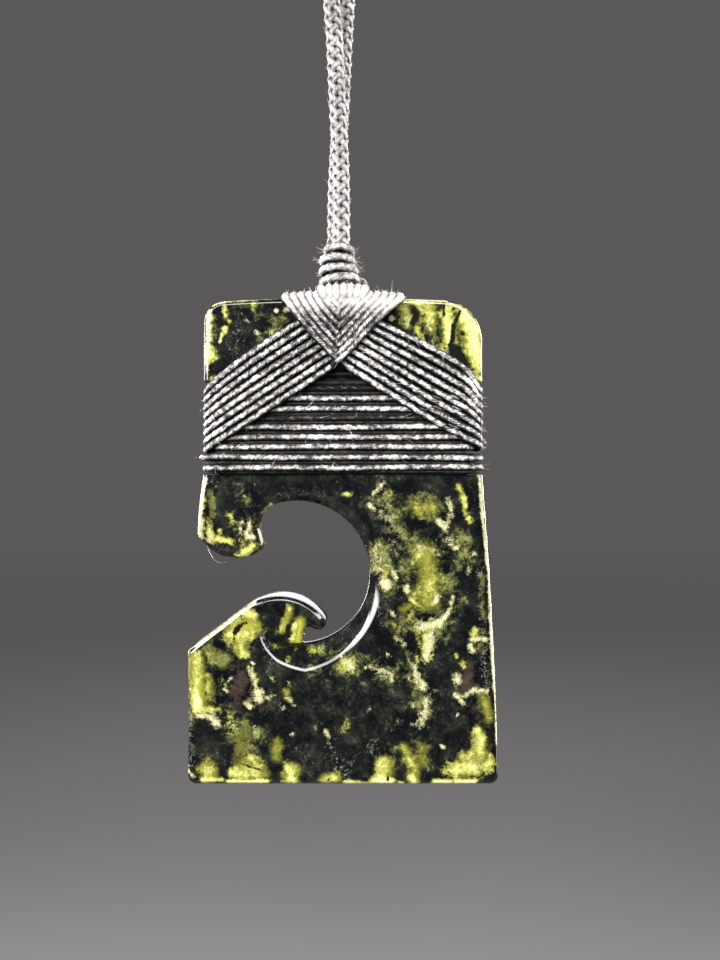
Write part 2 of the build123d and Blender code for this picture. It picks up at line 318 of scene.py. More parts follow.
class Weave:
    """Collects rings of points into one mesh, with a map of length and turn on each tube.

    Each point also keeps how squarely it faces outwards, from which light is painted on a
    thread's crown and shade in the hollow beside it."""

    def __init__(self):
        self.points = []
        self.faces = []
        self.map = []
        self.painted_lights = []
        self.roots = []

    def tube(self, rings, painted_lights, closed=False, run=0.0):
        """rings is an array of rings of points, in millimetres."""
        rings = np.asarray(rings, float)
        count, sides = rings.shape[:2]
        start = len(self.points)
        self.points.extend(rings.reshape(-1, 3))
        self.painted_lights.extend(np.asarray(painted_lights, float).ravel())
        reach = travelled(rings.mean(axis=1))
        last = count if closed else count - 1
        for i in range(last):
            j = (i + 1) % count
            near, far = run + reach[i], run + (reach[i + 1] if j else reach[i] + reach[1])
            for k in range(sides):
                m = (k + 1) % sides
                self.faces.append((start + i * sides + k, start + i * sides + m,
                                   start + j * sides + m, start + j * sides + k))
                low, high = k / sides, (k + 1) / sides
                self.map.extend([(near, low), (near, high), (far, high), (far, low)])
        if not closed:
            for end, order in ((0, -1), (count - 1, 1)):
                ring = [start + end * sides + k for k in range(sides)]
                self.faces.append(tuple(ring[::order]))
                self.map.extend([(run + reach[end], 0.5)] * sides)

    def thread(self, line, radius, plies=3, lead=2.8, sides=9, closed=False, phase=0.0,
               lobe=0.1, out=None, shade=0.0):
        """A twisted thread along a line of evenly spaced points.

        out holds the way each point's crown faces, which sets where light is painted on it; without
        it, that is away from the stone, and the thread swells over the saddle. shade is painted shade
        that darkens a thread that lies deeper."""
        tangent, side, up = carried_frames(line)
        reach = travelled(line)
        if closed:
            line, tangent, side, up, reach = (a[:-1] for a in (line, tangent, side, up, reach))
        turns = 2 * np.pi * np.arange(sides) / sides
        ways = spokes(sides, side, up)
        lobes = np.cos(plies * (turns[None] - 2 * np.pi * reach[:, None] / lead) + phase)
        sizes = radius * (1 - lobe / 2 + lobe * lobes)
        if out is None:
            over_top = np.clip((line[:, 2:] - STONE_FOOT - SADDLE_FOOT) / 0.5, 0, 1)
            sizes = sizes * (1 + SADDLE_SWELL * over_top)
            out = np.array([outward(place) for place in line])
        self.roots.extend(zip(line + radius * out, tangent, out))
        # How squarely each point faces outwards, less its shade, sets the light and shade painted on it.
        painted_lights = (ways * out[:, None]).sum(axis=2) - shade
        self.tube(line[:, None] + sizes[:, :, None] * ways, painted_lights, closed, run=phase * 3)

    def fibre(self, line, radius):
        """One thin fibre that tapers along a few points, painted fully lit."""
        _, side, up = carried_frames(line)
        sizes = radius * np.linspace(1, 0.4, len(line))[:, None, None]
        self.tube(line[:, None] + sizes * spokes(3, side, up), np.full((len(line), 3), 1.0))

    def hairs(self, count, reach, seed, above=-math.inf):
        """Short fibres that stand off the threads made so far, where those lie above a height."""
        chance = np.random.default_rng(seed)
        shares = np.linspace(0, 1, 4)[:, None]
        roots = [root for root in self.roots if root[0][2] > above]
        for k in chance.integers(len(roots), size=count):
            root, tangent, out = roots[k]
            way = chance.choice((-1, 1)) * tangent + chance.uniform(0.1, 0.7) * out
            way = way + chance.normal(0, 0.3, 3)
            bend = chance.normal(0, 0.4, 3)
            length = chance.uniform(0.3, 1) * reach
            line = root - 0.05 * out + length * (shares * way + shares**2 * bend)
            thickness = chance.uniform(0.018, 0.036)
            if np.abs(line[:, 1]).max() < HAIR_DEPTH:
                self.fibre(line, thickness)

    def made(self, name, material, node):
        """The finished piece, which stands for one of the solids."""
        mesh = bpy.data.meshes.new(name)
        mesh.from_pydata([tuple(p * MM) for p in self.points], [], self.faces)
        layer = mesh.uv_layers.new(name="run")
        layer.data.foreach_set("uv", np.array(self.map, float).ravel())
        # How squarely each point faces, from which the finish paints light and shade.
        crown = mesh.attributes.new("crown", "FLOAT", "POINT")
        crown.data.foreach_set("value", np.array(self.painted_lights, np.float32))
        piece = bpy.data.objects.new(name, mesh)
        bpy.context.collection.objects.link(piece)
        mesh.materials.append(material)
        mesh.shade_smooth()
        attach(piece, BODY)
        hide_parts(node)
        return piece


# The two braided cords

LEFT_ROUTE = [
    (-0.30, -1.10, -151.60), (-0.18, -1.10, -145.80), (-0.22, -1.10, -139.00),
    (-0.65, -1.10, -131.50), (-0.95, -1.10, -124.00), (-1.70, -1.10, -116.50),
    (-5.00, -1.00, -109.60), (-11.20, -0.80, -104.20), (-20.50, -0.50, -98.80),
    (-35.40, -0.30, -91.00), (-51.60, 0.00, -78.60), (-64.60, 0.00, -60.50),
    (-69.00, 0.00, -39.40), (-63.40, 0.00, -18.80), (-49.40, 0.00, -4.40),
    (-29.80, 0.00, 1.50), (-10.30, 0.00, 2.20),
]
RIGHT_ROUTE = [
    (-0.80, 1.10, -151.60), (-0.90, 1.10, -146.00), (-0.78, 1.10, -139.60),
    (-0.25, 1.10, -131.50), (0.08, 1.10, -124.00), (0.60, 1.10, -116.20),
    (4.10, 1.00, -109.20), (10.90, 0.80, -103.80), (20.80, 0.50, -98.50),
    (36.20, 0.30, -90.80), (52.20, 0.00, -78.10), (64.70, 0.00, -60.00),
    (68.60, 0.00, -39.00), (62.80, 0.00, -18.40), (48.80, 0.00, -4.20),
    (29.40, 0.00, 1.55), (10.30, 0.00, 2.20),
]
# The braid: one turn's length, the strands' distance from the middle, how far they weave in and
# out, how much further out the one way round lies and how much lighter it is painted, as painted
# light, and the core's radius.
BRAID_LEAD = 5.2
BRAID_STEP = BRAID_LEAD / 20
BRAID_MIDDLE = 0.70
BRAID_WAVE = 0.08
BRAID_OVER = 0.02
BRAID_PAINTED_LIGHT = 0.09
BRAID_CORE = 0.52
STRAND_WIDTH = 0.74
STRAND_DEPTH = 0.44


def route_line(name, route):
    """Points along the smooth line that a route's points control."""
    data = bpy.data.curves.new(name, "CURVE")
    data.dimensions = "3D"
    data.resolution_u = 16
    spline = data.splines.new("NURBS")
    spline.points.add(len(route) - 1)
    for point, place in zip(spline.points, route):
        point.co = (*(MM * v for v in place), 1)
    spline.order_u = 3
    spline.use_endpoint_u = True
    curve = bpy.data.objects.new(name, data)
    bpy.context.collection.objects.link(curve)
    bpy.context.view_layer.update()
    mesh = bpy.data.meshes.new_from_object(curve)
    line = np.array([v.co[:] for v in mesh.vertices]) / MM
    bpy.data.meshes.remove(mesh)
    bpy.data.objects.remove(curve)
    return line


def braid(name, line, material):
    """Eight flat strands, four each way round, that pass over and under each other."""
    line = spaced(line, BRAID_STEP)
    _, side, up = carried_frames(line)
    reach = np.arange(len(line)) * BRAID_STEP
    weave = Weave()
    turns = np.arange(6) * math.pi / 3
    core = [[c + BRAID_CORE * (math.cos(t) * s + math.sin(t) * u) for t in turns]
            for c, s, u in zip(line[::4], side[::4], up[::4])]
    # The core between the strands is painted in the darkest shade.
    weave.tube(core, np.full((len(core), 6), -1.0))
    for way in (1, -1):
        for k in range(4):
            turn = way * 2 * math.pi * reach / BRAID_LEAD + k * math.pi / 2
            wave = BRAID_MIDDLE + way * BRAID_WAVE * np.cos(8 * math.pi * reach / BRAID_LEAD)
            wave = wave - way * BRAID_OVER
            out = np.cos(turn)[:, None] * side + np.sin(turn)[:, None] * up
            centre = line + wave[:, None] * out
            forward = np.gradient(centre, axis=0)
            forward /= np.linalg.norm(forward, axis=1)[:, None]
            broad = np.cross(forward, out)
            broad /= np.linalg.norm(broad, axis=1)[:, None]
            rings = [
                [c + STRAND_WIDTH / 2 * math.cos(t) * b + STRAND_DEPTH / 2 * math.sin(t) * o
                 for t in turns + math.pi / 6]
                for c, b, o in zip(centre, broad, out)
            ]
            # Light is painted on each strand's outer face and shade on its inner face, and the one way
            # round is painted lighter.
            painted_lights = np.tile(np.sin(turns + math.pi / 6), (len(rings), 1)) - BRAID_PAINTED_LIGHT * way
            weave.tube(rings, painted_lights, run=7.3 * k + 3.1 * way)
            weave.roots.extend(zip(centre + STRAND_DEPTH / 2 * out, forward, out))
    weave.hairs(420, 0.7, seed=5)
    return weave.made(name, material, "neck_" + name)


JOIN_THREAD = 0.5
JOIN_PITCH = 0.96
JOIN_POINTS = 18


def join_whipping(material):
    """The whipped join of the two cords at the top of the loop, one thread wound side by side."""
    low, high = (np.array(corner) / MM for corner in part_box("cord_join"))
    middle = (low + high) / 2
    core = (high[2] - low[2]) / 2 - 2 * JOIN_THREAD
    start, end = low[0] + JOIN_THREAD, high[0] - JOIN_THREAD
    turns = int((end - start) / (2 * JOIN_THREAD * JOIN_PITCH))
    count = turns * JOIN_POINTS
    share = np.arange(count + 1) / count
    angle = 2 * np.pi * turns * share
    out = np.stack([0 * angle, np.sin(angle), np.cos(angle)], axis=1)
    line = middle + (core + JOIN_THREAD) * out
    line[:, 0] = start + (end - start) * share
    weave = Weave()
    rim = np.arange(12) * math.pi / 6
    disc = np.stack([0 * rim, np.sin(rim), np.cos(rim)], axis=1)
    core_ends = np.array([(start, *middle[1:]), (end, *middle[1:])])
    # The core's ends are painted in shade.
    weave.tube(core_ends[:, None] + (core + 0.2) * disc[None], np.full((2, 12), -0.5))
    weave.thread(line, JOIN_THREAD, lead=3.4, phase=0.4, out=out)
    weave.hairs(120, 0.7, seed=6)
    return weave.made("join_whipping", material, "cord_join")


cord_finish = thread_finish(
    "braided cord", (0.060, 0.057, 0.055), (0.150, 0.144, 0.139), (0.27, 0.26, 0.25),
    (0.39, 0.375, 0.36), 2.0,
)
join = join_whipping(cord_finish)
for name, route in (("cord_left", LEFT_ROUTE), ("cord_right", RIGHT_ROUTE)):
    line = route_line(name, route)
    cord = braid(name, line, cord_finish)


# The lashing

# The thread's radius, how far in front of the stone's middle each layer of it lies, the height at
# which the saddle's fuzzy fibres and their painted light are whole, and the one above which it has short
# fibres.
THREAD_RADIUS = 0.39
DEEP_RADIUS = 0.85 * THREAD_RADIUS
TURN_LAYER = 3.50
DEEP_LAYER = TURN_LAYER - 0.3
LOOP_LAYER = 4.30
ARM_LAYER = 4.80
ARM_STEP = 0.045
FUZZY_FROM = 50.8
HAIRY_FROM = 50.4

lashing_finish = thread_finish(
    "waxed thread", (0.003, 0.003, 0.003), (0.030, 0.028, 0.027), (0.22, 0.21, 0.20),
    (0.72, 0.70, 0.66), 3.0, (0.43, 0.60, 0.70, 0.80),
    fuzzy_from=(STONE_FOOT + FUZZY_FROM) * MM,
)
# A darker copy of the thread: painted shade for the turns that lie deeper.
shaded_finish = thread_finish(
    "shaded thread", (0.002, 0.002, 0.002), (0.005, 0.0045, 0.0045), (0.012, 0.011, 0.011),
    (0.045, 0.042, 0.041), 3.0,
)


def lifted(points):
    """Points with heights above the stone's foot, as places in the frame."""
    return [(x, y, STONE_FOOT + height) for x, y, height in points]


def both_faces(front):
    """A closed line whose back half mirrors its front half."""
    return front + [(x, -y, height) for x, y, height in reversed(front) if abs(y) > 1e-6]


# The turns round the waist: height at the left and right, reach at the left and right,
# and how far each lies in front of the others.
TURNS = [
    (33.25, 33.38, 14.45, 14.50, 0.10),
    (34.40, 34.35, 14.80, 14.40, 0.10),
    (35.45, 35.50, 13.52, 13.52, 0.05),
    (36.45, 36.50, 13.52, 13.52, 0.05),
    (37.50, 37.55, 13.52, 13.52, 0.08),
    (38.45, 38.55, 13.52, 13.52, -0.10),
    (39.35, 39.50, 13.52, 13.52, 0.08),
    (40.50, 40.60, 13.52, 13.52, 0.00),
    (41.60, 41.60, 13.52, 13.52, -0.15),
]
# Turns that lie deeper and show only as darker thread, painted in shade, between the others: height and
# reach.
DEEP_TURNS = [
    (32.92, 14.25), (33.85, 14.15), (34.9, 13.6), (35.95, 13.4), (37.0, 13.4), (38.05, 13.4),
    (38.95, 13.4), (40.0, 13.4), (41.1, 13.4), (42.2, 13.4), (43.1, 13.4),
]
# Loose ends of fibre that the photograph shows, as places in the frame.
LOOSE_ENDS = [
    [(1.75, -2.4, -150.90), (2.30, -2.6, -151.10), (2.55, -2.8, -151.60), (2.50, -2.9, -152.05)],
    [(-14.52, -2.2, -178.80), (-14.2, -2.4, -179.60), (-13.6, -2.6, -180.55),
     (-12.9, -2.7, -180.95), (-12.3, -2.7, -180.80)],
    [(8.70, -4.75, -155.80), (8.95, -4.95, -156.25), (9.55, -4.95, -156.60)],
    [(0.75, -4.05, -167.10), (0.95, -4.35, -167.60), (1.05, -4.30, -168.15)],
]


def turn_line(left, right, left_out, right_out, layer, sway, step):
    front = [
        (-left_out, 0, left + 0.05),
        (-left_out, -2.2, left),
        (-left_out + 0.45, -layer + 0.25, left),
        (-left_out + 1.5, -layer, left + sway[0]),
        (-7.5, -layer, 0.75 * left + 0.25 * right + sway[1]),
        (0, -layer, 0.5 * left + 0.5 * right + sway[2]),
        (7.5, -layer, 0.25 * left + 0.75 * right + sway[3]),
        (right_out - 1.5, -layer, right + sway[4]),
        (right_out - 0.45, -layer + 0.25, right),
        (right_out, -2.2, right),
        (right_out, 0, right + 0.05),
    ]
    return smooth_line(lifted(both_faces(front)), step, closed=True)


def waist_turns():
    weave = Weave()
    for i, (left, right, left_out, right_out, proud) in enumerate(TURNS):
        sway = [0.05 * math.sin(1.7 * i + 2.3 * k) for k in range(5)]
        line = turn_line(left, right, left_out, right_out, TURN_LAYER + proud, sway, 0.3)
        # Turns that lie behind the others are painted darker, as painted shade.
        weave.thread(
            line, THREAD_RADIUS, closed=True, phase=1.3 * i, shade=max(0, -4 * proud)
        )
    weave.hairs(560, 0.9, seed=1)
    for points in LOOSE_ENDS:
        weave.fibre(smooth_line(points, 0.4), 0.045)
    weave.made("waist_turns", lashing_finish, "horizontal_turns")

    weave = Weave()
    for height, reach in DEEP_TURNS:
        line = turn_line(height, height, reach, reach, DEEP_LAYER, [0] * 5, 0.9)
        weave.thread(line, DEEP_RADIUS, sides=6, closed=True, phase=height)
    weave.made("deep_turns", shaded_finish, "horizontal_turns")


waist_turns()

# Where each pair of strands crosses on the middle line.
CROSSINGS = [50.55, 49.75, 48.90, 47.95, 46.95, 46.00, 45.15, 44.40]
# The first strand's distance from the saddle's middle, the step to the next one, and the height
# of the outermost strand's crest with what the innermost stands above it.
FIRST_STRAND = 0.42
STRAND_STEP = 0.775
CREST = 51.28
CREST_RISE = 0.35
# For the first and last strand of each side: where it leaves the chevron, and its places
# further down the face, each across and up. The others lie evenly between the two.
LEFT_RUNS = [
    [(-4.45, 48.40), (-8.75, 45.70), (-12.4, 43.00), (-14.35, 41.30)],
    [(-1.75, 43.40), (-8.75, 38.80), (-12.4, 36.45), (-14.35, 35.15)],
]
RIGHT_RUNS = [
    [(4.00, 48.20), (8.60, 46.00), (12.6, 43.60), (14.35, 41.45)],
    [(0.75, 43.65), (8.60, 38.70), (12.6, 36.50), (14.35, 35.55)],
]


def between(first, last, share):
    return tuple(a + (b - a) * share for a, b in zip(first, last))


def strand_loop(way, index, runs):
    """One strand: from the saddle down one arm, across the middle and round the far side.

    way is -1 for a strand that ends on the left and passes over, and 1 for one that ends on
    the right and passes under."""
    share = index / (len(CROSSINGS) - 1)
    cross = CROSSINGS[index]
    middle = -0.12 - 0.04 * index
    saddle = -way * (FIRST_STRAND + STRAND_STEP * index)
    crest = CREST + CREST_RISE * (1 - share**2)
    arm = ARM_LAYER + ARM_STEP * index
    high = 51.0 - cross
    chevron, face, edge, side = (between(a, b, share) for a, b in zip(*runs))
    over = way < 0
    front = [
        (saddle, 0, crest),
        (saddle, -2.3, crest - 0.08),
        (saddle * 0.99, -arm + 0.45, crest - 0.62),
        (middle + saddle * 0.62, -arm, cross + 0.58 * high),
        (middle + saddle * 0.20, -arm + (0 if over else 0.12), cross + 0.17 * high),
        (middle, -arm if over else -arm + 0.38, cross),
        (middle + way * 0.62, -LOOP_LAYER - (0.22 if over else 0), cross - 0.42),
        (chevron[0], -LOOP_LAYER, chevron[1]),
        (face[0], -LOOP_LAYER, face[1]),
        (edge[0], -LOOP_LAYER + 0.1, edge[1]),
        (side[0] - way * 0.45, -LOOP_LAYER + 0.75, side[1] + 0.35),
        (side[0], -2.4, side[1]),
        (side[0], 0, side[1] - 0.1),
    ]
    return both_faces(front)


def strand_loops(name, way, runs, node):
    weave = Weave()
    for index in range(len(CROSSINGS)):
        line = smooth_line(lifted(strand_loop(way, index, runs)), 0.3, closed=True)
        weave.thread(line, THREAD_RADIUS, closed=True, phase=0.9 * index + way)
    weave.hairs(420, 0.9, seed=2 + way)
    weave.hairs(900, 0.4, seed=12 + way, above=STONE_FOOT + HAIRY_FROM)
    weave.made(name, lashing_finish, node)


strand_loops("left_strands", -1, LEFT_RUNS, "left_diagonals")
strand_loops("right_strands", 1, RIGHT_RUNS, "right_diagonals")


CROWN_STRANDS = (-2.2, -1.45, -0.7, 0.1, 0.85, 1.6, 2.3)
CROWN_MIDDLE = 0.4
CROWN_HEIGHT = 52.32
CROWN_FALL = 0.06


def saddle_crown():
    """Short strands over the saddle's middle, tucked under the chevron's arms."""
    weave = Weave()
    for i, x in enumerate(CROWN_STRANDS):
        high = CROWN_HEIGHT - CROWN_FALL * (x - CROWN_MIDDLE) ** 2
        front = [
            (x * 0.8, -4.15, 50.2),
            (x * 0.9, -4.85, 51.0),
            (x, -4.2, 51.75),
            (x, -2.4, high - 0.05),
            (x, 0, high),
        ]
        points = lifted(front + [(a, -b, c) for a, b, c in reversed(front[:-1])])
        weave.thread(smooth_line(points, 0.3), THREAD_RADIUS, phase=0.7 * i)
    weave.hairs(900, 0.4, seed=8)
    weave.made("saddle_crown", lashing_finish, "chevron")


saddle_crown()

# The collar's turns: height, tilt across X, and the reach to the left and right.
COLLAR = [
    (53.40, 0.20, -2.55, 1.75),
    (54.45, 0.05, -2.65, 1.60),
    (55.50, -0.05, -2.60, 1.35),
    (56.60, -0.08, -2.10, 1.20),
]
COLLAR_THREAD = 0.50
COLLAR_DEPTH = 2.75

collar_finish = thread_finish(
    "collar thread", (0.008, 0.007, 0.008), (0.07, 0.066, 0.064), (0.21, 0.205, 0.195),
    (0.52, 0.505, 0.485), 3.0,
)


def collar():
    weave = Weave()
    for i, (height, tilt, left, right) in enumerate(COLLAR):
        middle, half = (left + right) / 2, (right - left) / 2 - COLLAR_THREAD
        points = []
        for k in range(16):
            turn = 2 * math.pi * k / 16
            across = math.cos(turn) * half
            deep = math.copysign(abs(math.sin(turn)) ** 0.8, math.sin(turn)) * COLLAR_DEPTH
            points.append((middle + across, deep, height + tilt * math.cos(turn)))
        line = smooth_line(lifted(points), 0.25, closed=True)
        # Light is painted on the side of each turn that faces away from the collar's middle.
        out = (line - (middle, 0, 0))[:-1] * (1, 0.6, 0)
        out /= np.linalg.norm(out, axis=1)[:, None]
        weave.thread(
            line, COLLAR_THREAD, lead=3.4, sides=12, closed=True, phase=1.1 * i, out=out
        )
    weave.hairs(240, 0.8, seed=9)
    weave.made("collar_turns", collar_finish, "collar_whipping")


collar()


# The stone

# The photograph's millimetres a pixel on the front face, and the pixels of the stone's middle
# and foot.
PHOTO_SCALE = 0.105
PHOTO_MIDDLE = 343
PHOTO_FOOT = 785
# How fine the two faces are cut, where a face begins, which faces are flat and which are walls,
# the width that polish rounds, and how much it crowns the walls.
FACE_STEP = 0.2
BACK_STEP = 0.6
NEAR_FACE = 1.5
FLAT = 0.995
WALL = 0.1
ROUNDING = 0.42
WALL_CROWN = 0.08

EYE_MIDDLE = (-4.90, STONE_FOOT + 22.05)
EYE_RADIUS = 7.75
RIM_INNER = 0.93
RIM_FRONT = -0.6
RIM_MARGIN = 0.05
RIM_SHALLOWEST = 0.3
# The rim's slope where it is wider than the CAD's: turn in degrees, reach and depth as the CAD
# gives them, and over how many millimetres the polish rounds its outer edge.
RIM = [
    (-122, 1.00, 0.02, 0.4), (-112, 1.15, 0.19, 0.7), (-103, 1.27, 0.28, 0.9),
    (-85, 1.385, 0.365, 0.95), (-60, 1.315, 0.335, 0.85), (-42, 1.270, 0.315, 0.85),
    (-30, 1.255, 0.305, 1.2), (-20, 1.255, 0.30, 1.6), (-8, 1.23, 0.305, 1.8),
    (8, 1.19, 0.305, 1.4),
    (30, 1.18, 0.30, 0.8),
]

# Colour patches on the stone's face. Each is a stroke between two pixels of the
# photograph: across, down, end across, end down, half width in pixels, strength.
GOLD = {
    "top left": [
        (224, 308, 225, 316, 3.4, 1.1), (229, 321, 229, 321, 2.4, 1.2), (225, 328, 225, 331, 2.8, 1.2),
        (214, 332, 214, 332, 2.6, 0.8), (206, 349, 208, 357, 7.5, 1.3), (213, 379, 216, 378, 5.0, 1.1),
        (204, 384, 220, 383, 2.6, 1.0), (252, 304, 253, 304, 2.4, 1.2), (252, 310, 252, 310, 2.0, 1.0),
        (242, 314, 242, 314, 2.0, 0.8), (210, 336, 211, 342, 3.0, 0.8), (257, 332, 257, 332, 2.6, 0.8),
    ],
    "top right": [
        (447, 309, 447, 318, 6.0, 1.5), (447, 318, 449, 344, 6.5, 1.5), (462, 312, 474, 332, 9.0, 1.35),
        (474, 332, 479, 372, 8.0, 1.3), (466, 318, 472, 352, 8.0, 1.15), (428, 308, 432, 322, 9.0, 1.15),
        (404, 306, 408, 322, 8.0, 0.85), (399, 301, 440, 303, 4.0, 1.1), (416, 326, 425, 342, 6.0, 0.7),
        (434, 344, 444, 352, 5.0, 0.9), (478, 377, 483, 379, 5.5, 1.5), (439, 312, 441, 318, 4.0, 1.0),
    ],
    "jaw": [
        (218, 539, 231, 542, 3.6, 1.1), (228, 514, 237, 527, 3.2, 0.7), (219, 530, 220, 533, 2.6, 1.0),
        (241, 540, 243, 545, 4.0, 0.75), (244, 553, 252, 547, 4.0, 1.3), (236, 555, 246, 556, 2.6, 1.0),
        (262, 514, 271, 506, 2.2, 1.5), (258, 527, 264, 547, 3.6, 0.95), (202, 500, 203, 530, 4.5, 1.0),
        (208, 522, 211, 541, 5.0, 1.0),
    ],
    "right of the eye": [
        (345, 495, 352, 494, 3.2, 1.1), (392, 491, 396, 491, 4.0, 0.75), (415, 508, 430, 510, 7.0, 0.72),
        (422, 514, 422, 524, 4.0, 0.65), (458, 487, 465, 499, 3.6, 1.0), (465, 499, 465, 512, 4.2, 1.1),
        (465, 512, 470, 522, 3.6, 1.1), (469, 484, 470, 490, 3.2, 0.7), (422, 556, 434, 556, 13.0, 0.72),
        (427, 566, 428, 594, 18.0, 0.78), (412, 600, 415, 606, 4.0, 0.9), (383, 570, 386, 588, 7.0, 1.0),
        (412, 615, 405, 621, 4.5, 0.75), (394, 624, 397, 628, 4.0, 0.7), (474, 630, 475, 638, 4.0, 1.1),
        (457, 540, 459, 548, 4.5, 0.6), (426, 629, 440, 622, 5.5, 1.05), (418, 634, 419, 646, 6.0, 0.85),
        (426, 636, 427, 655, 5.5, 1.1), (416, 650, 418, 662, 4.0, 0.75),
    ],
    "wave": [
        (246, 614, 253, 617, 5.0, 1.1), (230, 636, 251, 634, 8.0, 1.05), (240, 645, 242, 654, 6.0, 1.15),
        (231, 624, 244, 617, 5.5, 0.8), (288, 608, 282, 629, 5.0, 0.85), (289, 609, 289, 611, 3.0, 1.2),
        (295, 626, 293, 637, 4.4, 1.3), (275, 648, 276, 649, 4.0, 0.7), (287, 660, 288, 662, 3.4, 0.9),
        (308, 655, 318, 653, 5.0, 0.6), (197, 657, 196, 698, 6.6, 1.25), (207, 676, 208, 697, 4.4, 0.9),
        (222, 679, 223, 682, 5.0, 0.85), (288, 680, 289, 692, 3.0, 0.7), (286, 691, 290, 701, 3.4, 0.9),
        (195, 690, 198, 706, 6.0, 1.5), (250, 668, 257, 687, 3.4, 0.8), (345, 664, 351, 666, 7.0, 0.95),
        (206, 653, 214, 662, 7.0, 0.55), (229, 716, 232, 729, 7.0, 0.7), (204, 711, 216, 709, 5.0, 0.95),
    ],
    # The brightest thin strips along the very foot are painted light shining through the thin stone.
    "foot": [
        (204, 766, 210, 773, 8.0, 1.1), (203, 780, 222, 780, 3.0, 1.6), (234, 774, 257, 775, 8.0, 1.25),
        (250, 758, 257, 765, 6.5, 0.95), (228, 782, 266, 782, 2.8, 1.8), (289, 768, 291, 781, 7.0, 1.35),
        (324, 781, 335, 778, 4.2, 1.15), (278, 741, 277, 756, 5.0, 0.62), (382, 764, 382, 782, 8.5, 1.1),
        (374, 781, 390, 782, 5.0, 1.5), (394, 767, 394, 768, 3.6, 0.8), (404, 750, 415, 771, 5.4, 0.85),
        (413, 778, 415, 785, 5.0, 1.5), (421, 750, 421, 751, 9.0, 0.5), (346, 783, 368, 785, 3.0, 1.6),
        (338, 772, 339, 773, 4.0, 0.8), (399, 784, 402, 784, 2.6, 1.5), (346, 724, 346, 727, 5.0, 0.65),
        (463, 757, 479, 753, 6.5, 1.1), (449, 771, 487, 766, 8.5, 1.15), (434, 783, 474, 783, 3.4, 1.8),
        (477, 730, 482, 739, 5.0, 1.2), (480, 740, 479, 755, 6.6, 1.15), (489, 756, 491, 770, 5.0, 1.0),
        (483, 699, 489, 720, 5.6, 0.72), (456, 655, 457, 657, 2.4, 1.2), (462, 662, 464, 667, 3.2, 1.0),
        (349, 663, 352, 667, 6.0, 1.0),
    ],
}
